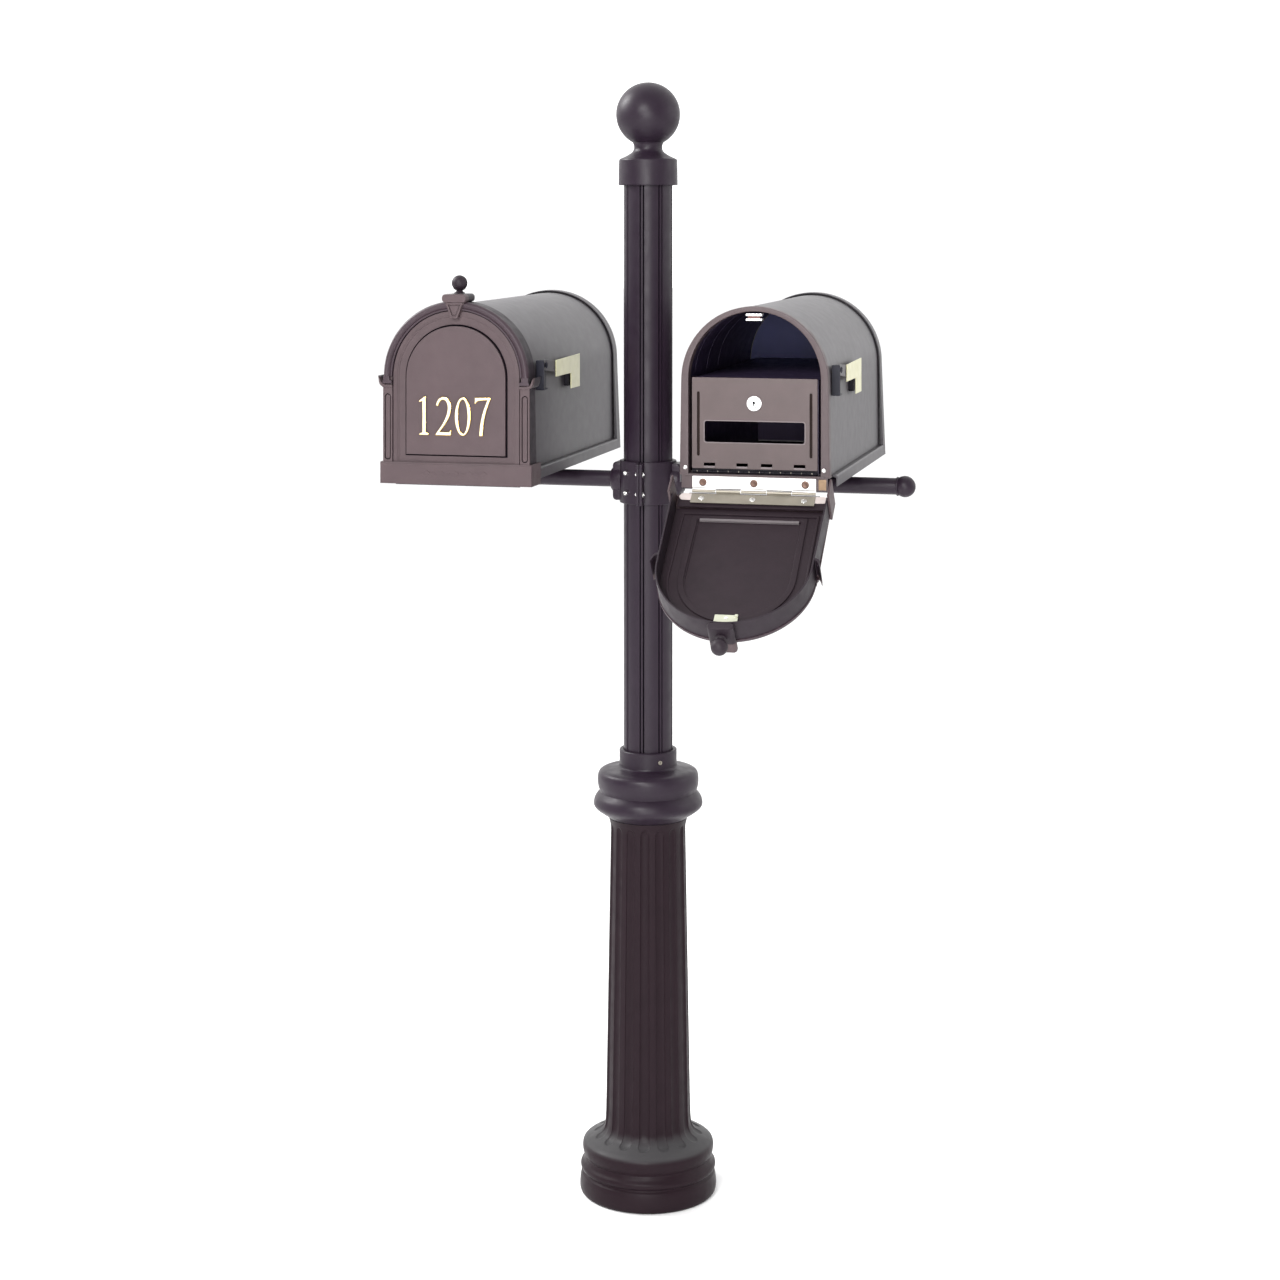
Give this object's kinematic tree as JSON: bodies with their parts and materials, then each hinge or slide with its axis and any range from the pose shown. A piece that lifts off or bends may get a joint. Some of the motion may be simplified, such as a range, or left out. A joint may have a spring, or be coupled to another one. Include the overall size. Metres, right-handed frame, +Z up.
{
  "type": "twin mailbox post",
  "caption": "Round post in a fluted pedestal with clamped side arms that carry two arched letter boxes with hinged doors, locking inserts and side flags.",
  "frame": {"origin": "middle of the foot on the ground, under the post's axis", "axes": "+Z up along the post, -Y the way the doors face, +X to the right as the doors are faced"},
  "size_m": [0.839, 0.7578, 1.7292],
  "materials": {
    "post_coat": "fine-textured black powder coat, semi-matt",
    "box_coat": "fine-textured black-brown powder coat, semi-matt",
    "door_coat": "fine-textured black-brown powder coat on castings",
    "insert_coat": "smooth dark bronze powder coat, satin",
    "flag_coat": "cream gloss paint",
    "stainless": "bright rolled stainless steel",
    "zinc": "pale zinc plate",
    "chrome": "bright chrome plate",
    "brass": "polished brass"
  },
  "bodies": {
    "post": {"anchor_plate": "zinc", "pedestal": "post_coat", "pedestal_collar": "post_coat", "post_tube": "post_coat", "post_cap": "post_coat", "ball_finial": "post_coat", "left_clamp_half": "post_coat", "left_arm": "post_coat", "left_arm_ball": "post_coat", "left_saddle": "post_coat", "right_clamp_half": "post_coat", "right_arm": "post_coat", "right_arm_ball": "post_coat", "right_saddle": "post_coat", "clamp_bolt_front_lower": "stainless", "clamp_bolt_front_upper": "stainless", "clamp_bolt_rear_lower": "stainless", "clamp_bolt_rear_upper": "stainless", "left_floor_pan": "box_coat", "left_body_shell": "box_coat", "left_rear_cap": "box_coat", "left_front_frame": "door_coat", "left_strike": "chrome", "left_insert_housing": "box_coat", "left_box_hinge_leaf": "stainless", "left_hinge_pin": "stainless", "left_flag_bracket": "box_coat", "right_floor_pan": "box_coat", "right_body_shell": "box_coat", "right_rear_cap": "box_coat", "right_front_frame": "door_coat", "right_strike": "chrome", "right_insert_housing": "box_coat", "right_box_hinge_leaf": "stainless", "right_hinge_pin": "stainless", "right_flag_bracket": "box_coat"},
    "left_door": {"left_door": "door_coat", "left_door_knob": "door_coat", "left_catch_plate": "zinc", "left_hinge_plate": "zinc", "left_door_hinge_leaf": "stainless", "number_1": "brass", "number_2": "brass", "number_3": "brass", "number_4": "brass"},
    "left_panel": {"left_insert_panel": "insert_coat", "left_lock_barrel": "chrome"},
    "left_lock": {"left_lock_plug": "chrome"},
    "left_flag": {"left_flag_arm": "box_coat", "left_flag": "flag_coat"},
    "right_door": {"right_door": "door_coat", "right_door_knob": "door_coat", "right_catch_plate": "zinc", "right_hinge_plate": "zinc", "right_door_hinge_leaf": "stainless"},
    "right_panel": {"right_insert_panel": "insert_coat", "right_lock_barrel": "chrome"},
    "right_lock": {"right_lock_plug": "chrome"},
    "right_flag": {"right_flag_arm": "box_coat", "right_flag": "flag_coat"}
  },
  "joints": [
    {"name": "left_door_hinge", "type": "hinge", "parent": "post", "child": "left_door", "pos_m": [-0.222, -0.2703, 1.1246], "axis": [1, 0, 0], "range_deg": [0, 128]},
    {"name": "left_panel_hinge", "type": "hinge", "parent": "post", "child": "left_panel", "pos_m": [-0.222, -0.266, 1.161], "axis": [1, 0, 0], "range_deg": [0, 6]},
    {"name": "left_lock_turn", "type": "hinge", "parent": "left_panel", "child": "left_lock", "pos_m": [-0.222, -0.265, 1.252], "axis": [0, -1, 0], "range_deg": [0, 90]},
    {"name": "left_flag_turn", "type": "hinge", "parent": "post", "child": "left_flag", "pos_m": [-0.107, -0.212, 1.299], "axis": [1, 0, 0], "range_deg": [0, 90]},
    {"name": "right_door_hinge", "type": "hinge", "parent": "post", "child": "right_door", "pos_m": [0.222, -0.2703, 1.1246], "axis": [1, 0, 0], "range_deg": [-128, 0]},
    {"name": "right_panel_hinge", "type": "hinge", "parent": "post", "child": "right_panel", "pos_m": [0.222, -0.266, 1.161], "axis": [1, 0, 0], "range_deg": [0, 95]},
    {"name": "right_lock_turn", "type": "hinge", "parent": "right_panel", "child": "right_lock", "pos_m": [0.222, -0.265, 1.252], "axis": [0, -1, 0], "range_deg": [0, 90]},
    {"name": "right_flag_turn", "type": "hinge", "parent": "post", "child": "right_flag", "pos_m": [0.337, -0.212, 1.299], "axis": [1, 0, 0], "range_deg": [0, 90]}
  ]
}
